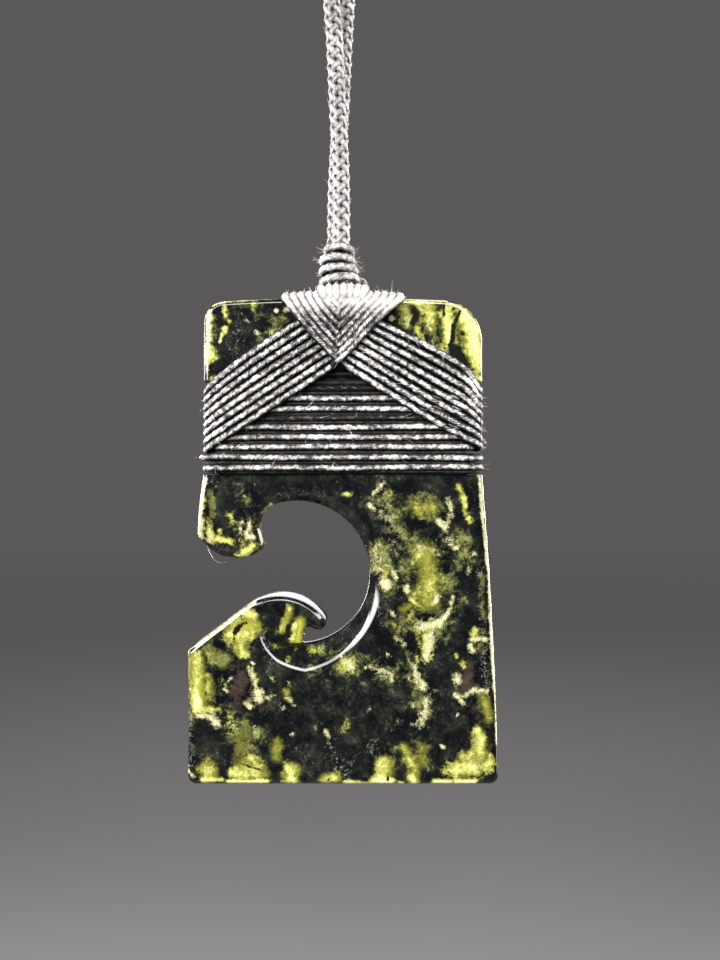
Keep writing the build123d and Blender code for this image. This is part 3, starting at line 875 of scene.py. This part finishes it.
PALE = {
    # Pale lines along the outline: painted highlights on the edges and painted light through the thin
    # edges.
    "edges": [
        (209, 312, 208, 348, 3.4, 1.1), (207, 360, 207, 372, 2.6, 0.9), (212, 305, 226, 301, 1.4, 1.1),
        (226, 301, 285, 297, 1.2, 1.0), (205, 479, 200.5, 499, 2.4, 1.1),
        (200.5, 499, 199.5, 518, 2.8, 1.1), (199.5, 518, 200, 536, 4.0, 1.0),
        (209, 536, 210, 542, 3.4, 0.8), (400, 298.5, 444, 300.5, 1.5, 1.1),
        (444, 300.5, 459, 307, 1.5, 1.1), (459, 307, 474, 321, 1.5, 1.1),
        (474, 321, 481.5, 335, 1.6, 1.0), (482, 335, 484, 369, 1.8, 0.8), (195, 647, 228, 623, 1.8, 1.1),
        (228, 622, 255, 603, 1.8, 1.1), (479, 474, 487.5, 565, 2.1, 1.0),
        (488.5, 565, 491.5, 640, 1.9, 1.0), (491.5, 640, 495, 690, 1.9, 1.1),
        (495.5, 690, 497, 745, 1.5, 0.9),
    ],
    # Small pale spots of the stone, with painted glints among them.
    "specks_and_glints": [
        (222, 334, 220, 342, 1.8, 0.9), (276, 311, 277, 311, 1.8, 1.3), (285, 310, 288, 309, 2.6, 1.0),
        (246, 320, 247, 321, 2.0, 0.7), (257, 332, 258, 333, 2.4, 0.9), (270, 333, 271, 334, 3.0, 0.6),
        (297, 318, 297, 318, 2.4, 0.7), (391, 318, 392, 319, 2.6, 1.1), (406, 325, 407, 326, 2.0, 0.9),
        (426, 324, 431, 331, 1.6, 1.0), (404, 312, 406, 320, 5.0, 0.55), (244, 496, 244, 496, 1.6, 0.8),
        (441, 746, 444, 748, 1.8, 1.0), (457, 716, 458, 714, 1.6, 0.8), (368, 712, 370, 709, 1.6, 0.8),
        (252, 663, 254, 664, 1.8, 1.2), (288, 682, 289, 683, 1.6, 0.8), (455, 548, 456, 548, 2.0, 1.2),
        (204, 717, 197, 716, 2.4, 1.0), (229, 680, 231, 679, 2.2, 0.9), (225, 690, 227, 691, 2.6, 0.9),
        (189, 772, 193, 776, 3.0, 0.8),
    ],
    "jaw": [
        (241, 522, 240, 534, 2.8, 0.8), (249, 523, 250, 528, 3.0, 0.95), (247, 533, 250, 538, 4.0, 0.95),
        (253, 537, 254, 538, 2.0, 1.2), (261, 538, 264, 546, 2.8, 0.8), (255, 485, 256, 486, 1.8, 0.6),
    ],
    # Pale zones of the stone, with a painted highlight and a painted glint among them.
    "right of the eye": [
        (374, 494, 383, 484, 3.0, 0.8), (369, 504, 374, 510, 2.6, 0.9), (380, 512, 393, 523, 5.0, 0.62),
        (385, 497, 392, 508, 7.0, 0.52), (392, 520, 400, 536, 7.0, 0.50), (438, 521, 444, 527, 3.4, 1.1),
        (448, 498, 452, 515, 3.0, 0.75), (449, 515, 447, 532, 3.0, 0.70), (420, 547, 440, 552, 8.0, 0.50),
        (448, 540, 456, 548, 5.0, 0.70), (472, 556, 476, 553, 2.6, 0.8), (468, 568, 469, 572, 3.0, 0.7),
        (434, 604, 439, 597, 2.8, 0.95), (375, 549, 381, 570, 7.0, 0.62), (392, 540, 394, 556, 6.0, 0.50),
        (384, 582, 387, 586, 5.0, 1.1), (393, 572, 396, 578, 3.0, 0.8), (407, 587, 407, 591, 3.2, 0.9),
        (392, 613, 394, 616, 2.6, 0.9), (453, 597, 450, 611, 2.4, 0.85), (450, 611, 441, 622, 2.8, 0.9),
        (420, 628, 441, 622, 5.6, 0.95), (430, 636, 428, 655, 4.6, 0.95), (426, 655, 426, 660, 4.0, 0.9),
        (472, 640, 486, 639, 3.0, 0.9), (471, 646, 473, 651, 3.6, 0.85), (396, 638, 404, 644, 4.0, 0.65),
        (387, 655, 388, 655, 3.6, 0.75),
    ],
    "middle": [
        (257, 693, 259, 698, 5.6, 1.05), (248, 704, 250, 707, 4.0, 0.95), (268, 698, 274, 696, 2.6, 0.7),
        (249, 668, 252, 676, 2.6, 0.75), (253, 676, 256, 688, 3.2, 0.8), (272, 678, 274, 681, 3.0, 0.7),
        (287, 698, 290, 701, 2.8, 0.8), (293, 704, 294, 705, 2.4, 0.8), (281, 706, 283, 708, 3.6, 0.6),
        (208, 716, 216, 722, 5.0, 0.9), (212, 721, 219, 727, 4.0, 0.75), (232, 722, 234, 728, 5.0, 0.55),
        (254, 727, 254, 732, 2.6, 0.7), (341, 658, 346, 660, 4.0, 0.7), (348, 662, 352, 668, 5.0, 0.85),
        (372, 668, 389, 674, 4.8, 0.72), (365, 668, 366, 669, 1.8, 1.0), (391, 677, 392, 681, 3.0, 0.8),
        (414, 667, 417, 678, 3.8, 0.8), (417, 678, 424, 688, 4.6, 0.85), (409, 678, 411, 682, 4.0, 0.6),
        (427, 698, 425, 711, 5.0, 0.72), (425, 711, 421, 723, 5.4, 0.78), (413, 725, 415, 725, 2.8, 0.8),
        (413, 704, 414, 706, 2.4, 0.8), (396, 722, 398, 725, 2.8, 0.65), (458, 675, 457, 681, 4.2, 0.85),
        (455, 694, 464, 704, 2.4, 0.95), (464, 696, 475, 690, 2.6, 0.85), (475, 690, 487, 691, 2.8, 0.8),
        (432, 689, 437, 691, 3.0, 0.55), (371, 748, 373, 749, 5.0, 0.45),
    ],
    "lower left": [
        (326, 731, 328, 736, 3.2, 0.75), (328, 738, 330, 746, 2.6, 0.55), (315, 727, 316, 729, 2.8, 0.65),
        (292, 734, 293, 735, 2.4, 0.65), (295, 747, 297, 749, 2.6, 0.5), (187, 766, 190, 768, 3.0, 0.6),
        (336, 756, 340, 768, 7.0, 0.40),
    ],
}
OLIVE = {
    "all over": [
        (212, 312, 215, 337, 3.4, 0.9), (240, 305, 254, 304, 8.0, 0.8), (262, 316, 288, 324, 9.0, 0.6),
        (262, 334, 280, 330, 7.0, 0.5), (245, 500, 252, 512, 11.0, 0.65), (240, 530, 258, 545, 10.0, 0.6),
        (210, 492, 212, 516, 3.4, 0.9), (388, 500, 400, 530, 14.0, 0.7), (410, 505, 436, 515, 14.0, 0.8),
        (424, 552, 432, 600, 24.0, 0.9), (378, 548, 388, 585, 11.0, 0.9), (460, 535, 470, 560, 10.0, 0.6),
        (480, 560, 484, 640, 4.0, 0.7), (400, 625, 440, 632, 14.0, 0.7), (395, 640, 408, 650, 9.0, 0.6),
        (210, 650, 224, 663, 13.0, 0.8), (228, 624, 250, 630, 12.0, 0.8), (212, 690, 216, 708, 9.0, 0.7),
        (282, 645, 330, 656, 7.0, 0.55), (244, 722, 236, 740, 12.0, 0.6), (251, 732, 244, 752, 12.0, 0.8),
        (262, 742, 282, 748, 8.0, 0.5), (342, 660, 400, 672, 12.0, 0.6), (412, 670, 426, 720, 12.0, 0.6),
        (418, 745, 424, 760, 11.0, 0.7), (384, 748, 392, 760, 8.0, 0.6), (470, 640, 484, 650, 8.0, 0.6),
        (482, 697, 489, 722, 8.0, 0.9), (438, 324, 439, 337, 5.0, 0.9), (190, 712, 190, 760, 4.0, 0.5),
        (360, 484, 400, 486, 12.0, 0.25), (320, 676, 345, 690, 10.0, 0.3), (487, 745, 491, 748, 5.0, 0.8),
        (300, 668, 325, 672, 7.0, 0.5),
    ],
}
BROWN = {
    "all over": [
        (278, 311, 284, 309, 2.4, 0.7), (236, 350, 255, 362, 14.0, 0.4), (361, 504, 370, 512, 5.0, 0.9),
        (380, 515, 382, 518, 6.0, 0.5), (471, 510, 473, 516, 3.4, 0.8), (238, 665, 242, 688, 9.0, 1.0),
        (260, 702, 262, 708, 8.0, 0.8), (236, 691, 236, 702, 10.0, 0.9), (281, 706, 284, 708, 5.0, 0.5),
        (219, 550, 237, 548, 4.0, 0.7), (470, 667, 466, 688, 6.4, 1.1), (469, 705, 481, 715, 7.0, 1.0),
        (431, 303, 432, 305, 3.4, 0.7), (440, 690, 448, 700, 6.0, 0.4), (473, 346, 474, 348, 2.4, 0.5),
        (350, 700, 378, 706, 18.0, 0.45), (338, 755, 340, 765, 8.0, 0.5), (306, 758, 312, 766, 8.0, 0.35),
        (211, 505, 213, 512, 2.4, 0.7),
    ],
}
AMBER = {
    "right of the eye": [
        (427, 553, 428, 600, 10.5, 0.95), (417, 510, 430, 508, 6.5, 0.80),
        (427, 630, 425, 655, 5.0, 0.90), (402, 610, 414, 604, 5.0, 0.70),
    ],
    "wave": [
        (234, 632, 250, 628, 9.0, 1.25), (240, 640, 241, 650, 6.0, 1.20), (247, 614, 252, 620, 5.0, 1.15),
        (290, 610, 283, 630, 4.0, 0.95), (300, 623, 297, 640, 5.0, 1.25), (196, 660, 198, 700, 7.0, 1.30),
        (208, 680, 209, 696, 5.0, 0.80), (286, 692, 289, 700, 4.0, 0.80),
    ],
    "foot": [
        (277, 741, 277, 758, 5.5, 0.75), (404, 748, 416, 772, 5.0, 0.90), (421, 748, 423, 762, 8.0, 0.60),
        (385, 765, 384, 782, 8.5, 1.05), (291, 770, 291, 782, 7.0, 1.25),
        (245, 770, 257, 775, 10.0, 1.15), (207, 768, 210, 776, 8.0, 1.10),
        (463, 768, 480, 757, 9.0, 1.05), (479, 735, 480, 752, 6.5, 1.00), (485, 700, 489, 720, 5.0, 0.85),
        (324, 780, 336, 778, 5.0, 1.05), (413, 776, 415, 785, 5.0, 1.20), (242, 735, 238, 752, 9.0, 0.50),
    ],
    "top right": [
        (430, 310, 432, 325, 9.0, 0.90), (466, 325, 474, 352, 9.0, 1.00), (448, 318, 449, 342, 6.0, 1.20),
        (404, 308, 408, 322, 8.0, 0.70),
    ],
}
BLACK = {
    "cracks": [
        (413, 311, 417, 314, 3.4, 1.1), (417, 314, 413, 324, 3.2, 1.1), (444, 305, 444, 316, 1.8, 1.3),
        (460, 311, 453, 328, 2.0, 1.3), (453, 328, 452, 349, 2.4, 1.4), (461, 333, 463, 334, 2.6, 1.2),
        (451, 346, 463, 361, 4.6, 1.3), (457, 356, 466, 370, 4.0, 1.2), (437, 324, 439, 336, 4.0, 0.9),
        (424, 323, 422, 332, 2.4, 0.8), (393, 303, 388, 316, 4.0, 1.0), (472, 374, 473, 375, 2.0, 0.9),
        (207, 381, 216, 381, 1.5, 0.9), (235, 633, 240, 626, 2.2, 1.4), (241, 625, 246, 623, 1.7, 1.1),
        (234, 638, 234, 640, 1.5, 1.1), (289, 626, 287, 635, 2.8, 1.2), (236, 762, 262, 771, 1.3, 0.9),
        (489, 733, 490, 734, 3.6, 1.3), (488, 742, 491, 748, 3.6, 0.8), (486, 757, 487, 758, 2.0, 0.9),
        (487, 781, 497, 777, 3.6, 1.1), (222, 768, 226, 778, 2.6, 1.2), (250, 776, 251, 777, 1.6, 0.8),
        (453, 782, 454, 785, 1.5, 1.1), (388, 774, 388, 780, 1.5, 0.9), (444, 518, 436, 524, 3.4, 0.7),
        (205, 763, 206, 764, 1.6, 0.9), (190, 769, 192, 772, 2.4, 1.1), (439, 529, 425, 534, 4.0, 1.0),
        (447, 771, 449, 773, 2.2, 0.9), (327, 781, 331, 779, 1.8, 0.9), (201, 662, 202, 663, 1.5, 0.9),
        (217, 697, 222, 700, 3.0, 0.7),
    ],
}
# Pale grey flecks and zones of the stone, with painted highlights and glints among them on the wave, the
# curl's tip and the eye's rim.
GREY_AND_GLINTS = {
    "all over": [
        (242, 321, 236, 335, 6.0, 0.8), (236, 336, 234, 352, 7.0, 0.7), (262, 632, 264, 642, 3.2, 1.1),
        (264, 642, 267, 649, 2.6, 1.1), (484, 652, 486, 684, 4.4, 0.9), (190, 712, 190, 762, 4.4, 0.7),
        (480, 565, 483, 640, 3.4, 0.7), (372, 745, 373, 752, 6.0, 0.7), (388, 730, 400, 722, 4.0, 0.6),
        (330, 745, 345, 772, 8.0, 0.7), (322, 752, 326, 765, 8.0, 0.4), (272, 660, 266, 675, 2.0, 0.8),
        (280, 495, 330, 497, 5.0, 0.5), (375, 600, 385, 625, 4.0, 0.7), (204, 482, 214, 484, 6.0, 0.5),
        (306, 750, 312, 770, 6.0, 0.4), (326, 616, 327, 618, 3.0, 1.0), (312, 622, 314, 626, 2.6, 0.8),
    ],
}
PATCHES = {
    "gold": GOLD,
    "pale": PALE,
    "olive": OLIVE,
    "brown": BROWN,
    "amber": AMBER,
    "black": BLACK,
    "grey": GREY_AND_GLINTS,
}


# The colour layers of the stone's mesh, three kinds to a layer.
KINDS = {
    "bright": ("gold", "pale", "olive"),
    "dark": ("brown", "black", "grey"),
    "clear": ("amber", "amber", "amber"),
}


def strength_at(kind, across, down):
    """How strongly one kind of colour lies at each place of the face, from 0 to its strength."""
    field = np.zeros(len(across))
    for strokes in PATCHES[kind].values():
        for ax, ay, bx, by, half_width, strength in strokes:
            run = np.array([bx - ax, by - ay], float)
            long = max(float(run @ run), 1e-9)
            share = np.clip(((across - ax) * run[0] + (down - ay) * run[1]) / long, 0, 1)
            away = np.hypot(across - ax - share * run[0], down - ay - share * run[1])
            field = np.maximum(field, strength * np.clip(1 - away / (2 * half_width), 0, 1))
    return field


def scored(mesh, faces, axis, places):
    """Cuts faces by planes square to one axis, sweeping from low to high."""
    square = Vector((axis == 0, axis == 1, axis == 2))
    for place in places:
        geometry = set(faces)
        for face in faces:
            geometry.update(face.edges)
            geometry.update(face.verts)
        cut = bmesh.ops.bisect_plane(
            mesh, geom=list(geometry), plane_co=square * place, plane_no=square, dist=1e-7
        )
        faces = [
            f for f in cut["geom"]
            if isinstance(f, bmesh.types.BMFace) and max(v.co[axis] for v in f.verts) > place + 1e-6
        ]


def polished_normal(vert, half_thickness):
    """The way a point of the stone seems to face, with its edges softened by polishing."""
    flat = [f for f in vert.link_faces if abs(f.normal.y) > FLAT]
    wall = [f for f in vert.link_faces if abs(f.normal.y) < WALL]
    total = Vector()
    for face in flat or wall or vert.link_faces:
        total += face.normal * face.calc_area()
    facing = Vector((0, math.copysign(1, vert.co.y), 0))
    if flat:
        return facing
    if wall:
        return (total.normalized() + facing * WALL_CROWN).normalized()
    depth = (half_thickness - abs(vert.co.y)) / (ROUNDING * MM)
    return facing.lerp(total.normalized(), min(max(depth, 0), 1)).normalized()


def widened_rim(mesh):
    """Presses the rim's slope into the front face and returns the polished normals on it."""
    turns, reaches, depths, rounds = np.array(RIM).T
    thickness = 2 * FACE
    normals = {}
    for vert in mesh.verts:
        x, y, z = vert.co / MM
        across, up = x - EYE_MIDDLE[0], z - EYE_MIDDLE[1]
        away, turn = math.hypot(across, up), math.degrees(math.atan2(up, across))
        if y > RIM_FRONT or not turns[0] < turn < turns[-1]:
            continue
        outer = np.interp(turn, turns, reaches) * EYE_RADIUS
        inner = RIM_INNER * EYE_RADIUS
        deep = np.interp(turn, turns, depths) * thickness
        if not inner + RIM_MARGIN < away < outer or deep < RIM_SHALLOWEST:
            continue
        slope = -thickness / 2 + deep * (outer - away) / (outer - inner)
        if y > slope + RIM_MARGIN:
            continue
        vert.co.y = max(y, slope) * MM
        rounded = min((outer - away) / np.interp(turn, turns, rounds), 1)
        tilt = math.atan2(deep, outer - inner) * rounded
        normals[vert] = Vector((
            -across / away * math.sin(tilt), -math.cos(tilt), -up / away * math.sin(tilt)
        ))
    return normals


def carved_stone():
    """The stone's solid, merged, cut fine enough for its colours and rounded by its normals."""
    mesh = bmesh.new()
    mesh.from_mesh(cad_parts["stone"].data)
    bmesh.ops.remove_doubles(mesh, verts=mesh.verts, dist=1e-6)
    bmesh.ops.dissolve_limit(
        mesh, angle_limit=math.radians(0.05), verts=mesh.verts, edges=mesh.edges
    )
    bmesh.ops.connect_verts_concave(mesh, faces=mesh.faces)
    low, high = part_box("stone")
    for side, step in ((-1, FACE_STEP), (1, BACK_STEP)):
        for axis in (2, 0):
            faces = [f for f in mesh.faces if side * f.calc_center_median().y > NEAR_FACE * MM]
            places = np.arange(low[axis] + step * MM * 0.61, high[axis], step * MM)
            scored(mesh, faces, axis, places)
        faces = [
            f for f in mesh.faces
            if side * f.calc_center_median().y > NEAR_FACE * MM and WALL < abs(f.normal.y) < FLAT
        ]
        rings = [side * (high[1] - depth * MM) for depth in (0.5 * ROUNDING, ROUNDING)]
        scored(mesh, faces, 1, sorted(rings))
    bmesh.ops.triangulate(mesh, faces=[f for f in mesh.faces if len(f.verts) > 4])
    on_rim = widened_rim(mesh)
    mesh.normal_update()
    normals = [on_rim.get(vert) or polished_normal(vert, high[1]) for vert in mesh.verts]

    data = bpy.data.meshes.new("carved_stone")
    mesh.to_mesh(data)
    mesh.free()
    data.shade_smooth()
    data.normals_split_custom_set_from_vertices(normals)

    places = np.array([v.co[:] for v in data.vertices]) / MM
    across = PHOTO_MIDDLE + places[:, 0] / PHOTO_SCALE
    down = PHOTO_FOOT - (places[:, 2] - STONE_FOOT) / PHOTO_SCALE
    fields = {kind: strength_at(kind, across, down) for kind in PATCHES}
    for name, kinds in KINDS.items():
        layer = data.color_attributes.new(name, "FLOAT_COLOR", "POINT")
        values = np.stack([fields[k] for k in kinds] + [np.ones(len(across))], axis=1)
        layer.data.foreach_set("color", values.astype(np.float32).ravel())

    piece = bpy.data.objects.new("carved_stone", data)
    bpy.context.collection.objects.link(piece)
    data.materials.append(stone_finish())
    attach(piece, BODY)
    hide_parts("stone")


def stone_finish():
    """Dark green stone with clear amber, jagged gold, feathery pale veins, brown and cracks, glowing a
    little with painted light.
    """
    # Every colour also glows a little: painted light in place of light that passes through the stone.
    finish = Finish("greenstone", Roughness=0.09, IOR=1.62, Emission_Strength=0.22)
    spot = finish.place()
    drift = finish.noise(spot, 500.0, detail=3.0, output=1)
    bent = finish.node(
        "VectorMath", {"operation": "MULTIPLY_ADD"}, _0=drift, _1=(0.0012, 0.0012, 0.0012), _2=spot
    )
    cloud = finish.noise(bent, 620.0, detail=5.0, roughness=0.65) - 0.5
    grain = finish.noise(bent, 2400.0, detail=4.0, roughness=0.7) - 0.5
    feather = finish.noise(bent, 1400.0, detail=6.0, roughness=0.8, distortion=0.6) - 0.5
    speck = finish.noise(spot, 5600.0, detail=2.0, roughness=0.6) - 0.5

    gold, pale, olive = finish.split(finish.node("Attribute", {"attribute_name": "bright"}))
    brown, black, grey = finish.split(finish.node("Attribute", {"attribute_name": "dark"}))
    amber = finish.split(finish.node("Attribute", {"attribute_name": "clear"}))[0]

    shown = finish.ramp(
        cloud * 1.6 + grain * 0.6 + speck * 0.3 + 0.5,
        (0.30, (0.0022, 0.0024, 0.0034)),
        (0.52, (0.0062, 0.0070, 0.0062)),
        (0.80, (0.020, 0.023, 0.016)),
    )
    # Pale grey flecks of the stone; where the grey strokes lie on the wave and the rim they are painted
    # highlights and glints.
    flecks = (grain * 1.3 + feather * 0.9 + speck * 1.2 + grey * 0.30).rise(0.26, 0.48)
    shown = finish.mix(flecks * (0.11 + grey * 0.4).clamped(), shown, (0.30, 0.30, 0.27, 1))
    olive_mask = (olive * 1.3 + cloud * 2.4 + grain * 0.9 + speck * 0.3).rise(0.42, 1.15)
    olive_colour = finish.ramp(
        cloud * 1.3 + grain * 0.8 + speck * 0.5 + 0.5,
        (0.25, (0.030, 0.034, 0.010)),
        (0.52, (0.072, 0.078, 0.020)),
        (0.80, (0.20, 0.20, 0.075)),
    )
    shown = finish.mix(olive_mask * 0.92, shown, olive_colour)
    brown_mask = (brown * 0.95 + cloud * 2.0 + grain * 1.6 + speck * 0.5).rise(0.34, 1.2)
    shown = finish.mix(brown_mask * 0.65, shown, (0.054, 0.036, 0.028, 1))
    amber_field = amber + cloud * 0.7 + grain * 0.5
    amber_colour = finish.ramp(
        (amber_field + grain * 0.5 + speck * 0.5) * 0.6,
        (0.18, (0.030, 0.034, 0.009)),
        (0.36, (0.095, 0.094, 0.014)),
        (0.56, (0.21, 0.20, 0.024)),
        (0.85, (0.44, 0.42, 0.060)),
    )
    shown = finish.mix(amber_field.rise(0.16, 0.62), shown, amber_colour)
    gold_field = gold + cloud * 2.0 + grain * 1.4 + speck * 0.3
    gold_colour = finish.ramp(
        (gold_field + feather * 0.5 + speck * 0.4) * 0.6,
        (0.20, (0.045, 0.048, 0.012)),
        (0.38, (0.12, 0.120, 0.024)),
        (0.56, (0.25, 0.255, 0.055)),
        (0.76, (0.45, 0.465, 0.14)),
        (0.98, (0.64, 0.68, 0.30)),
    )
    shown = finish.mix(gold_field.rise(0.40, 0.92), shown, gold_colour)
    # Pale veins and spots; the lines along the outline are painted highlights and painted light through
    # the thin edges, and some spots are painted glints.
    pale_field = pale + feather * 1.7 + grain * 1.0 + speck * 0.4
    pale_colour = finish.ramp(
        (pale_field + cloud * 0.6 + speck * 0.5) * 0.6,
        (0.20, (0.13, 0.125, 0.055)),
        (0.42, (0.31, 0.30, 0.15)),
        (0.64, (0.43, 0.42, 0.25)),
        (0.92, (0.66, 0.67, 0.48)),
    )
    shown = finish.mix(pale_field.rise(0.34, 0.84), shown, pale_colour)
    crack = (black * 0.74 + cloud * 1.2 + grain * 1.4).rise(0.38, 0.64)
    shown = finish.mix(crack, shown, (0.005, 0.006, 0.005, 1))
    return finish.wear(
        Base_Color=shown,
        Emission_Color=shown,
        Normal=finish.bump(grain, 0.06, 0.00005),
    )


carved_stone()


# Floor, world and lights


def pale_floor():
    """A round pale floor whose rim fades into the backdrop."""
    bpy.ops.mesh.primitive_circle_add(
        vertices=128, radius=FLOOR_RADIUS, fill_type="NGON",
        location=(0, FLOOR_BACK, (STONE_FOOT - FLOOR_DROP) * MM),
    )
    floor = bpy.context.object
    floor.name = "floor"
    bpy.ops.object.transform_apply(location=True, rotation=False, scale=False)
    finish = Finish("pale floor", Roughness=0.8)
    centre = finish.node("Mapping", Vector=finish.place(), Location=(0, -FLOOR_BACK, 0))
    reach = finish.node("VectorMath", {"operation": "LENGTH"}, output=1, _0=centre)
    near, steep, far = FLOOR_FADE
    finish.wear(Base_Color=FLOOR, Alpha=(near / (reach + steep) - far).clamped())
    floor.data.materials.append(finish.material)


def backdrop():
    """A grey world that lights the scene less than it shows."""
    world = bpy.data.worlds.new("studio")
    bpy.context.scene.world = world
    world.use_nodes = True
    tree = world.node_tree
    back = tree.nodes["Background"]
    back.inputs["Color"].default_value = BACKDROP
    seen = Finish.node_in(tree, "LightPath")
    feed(tree, back.inputs["Strength"], seen * (1 - WORLD_LIGHT) + WORLD_LIGHT)


def softbox(name, place, size, watts, aim=None, spread=70):
    """A soft light that shines on the stone, or on the place given as its aim."""
    bpy.ops.object.light_add(type="AREA", location=place)
    light = bpy.context.object
    light.name = name
    light.data.shape = "RECTANGLE"
    light.data.size, light.data.size_y = size
    light.data.energy = watts
    light.data.spread = math.radians(spread)
    light.visible_camera = False
    way = Vector(aim or STONE_MIDDLE) - Vector(place)
    light.rotation_euler = way.to_track_quat("-Z", "Y").to_euler()


FLOOR = colour(0.37, 0.36, 0.36)
FLOOR_RADIUS = 1.0
FLOOR_BACK = 0.15
FLOOR_DROP = 45
FLOOR_FADE = (0.19, 0.118, 0.15)
STONE_MIDDLE = (0, 0, (STONE_FOOT + 28) * MM)
CORD_MIDDLE = (0, 0, -0.126)
BACKDROP = colour(0.105, 0.098, 0.101)
WORLD_LIGHT = 0.25

pale_floor()
backdrop()
softbox("key", (-0.22, -0.25, -0.02), (0.16, 0.12), 0.26)
softbox("fill", (0.24, -0.28, -0.02), (0.16, 0.12), 0.12)
softbox("high_front", (0.0, -0.27, -0.03), (0.56, 0.10), 0.40)
softbox("low_back", (0.0, 0.50, -0.09), (0.50, 0.18), 0.09)
softbox("rim_left", (-0.17, -0.26, -0.125), (0.14, 0.10), 0.11)
softbox("right_strip", (0.30, 0.035, -0.15), (0.05, 0.26), 0.14)
softbox("left_strip", (-0.32, 0.035, -0.15), (0.05, 0.26), 0.05)
softbox("cord_right", (0.20, 0.06, -0.12), (0.05, 0.20), 0.28, CORD_MIDDLE)
softbox("cord_left", (-0.20, 0.06, -0.12), (0.05, 0.20), 0.34, CORD_MIDDLE)
softbox("cord_front", (0.03, -0.22, -0.02), (0.05, 0.05), 0.006, (0, 0, -0.110), 24)
bpy.context.scene.view_settings.view_transform = "Standard"
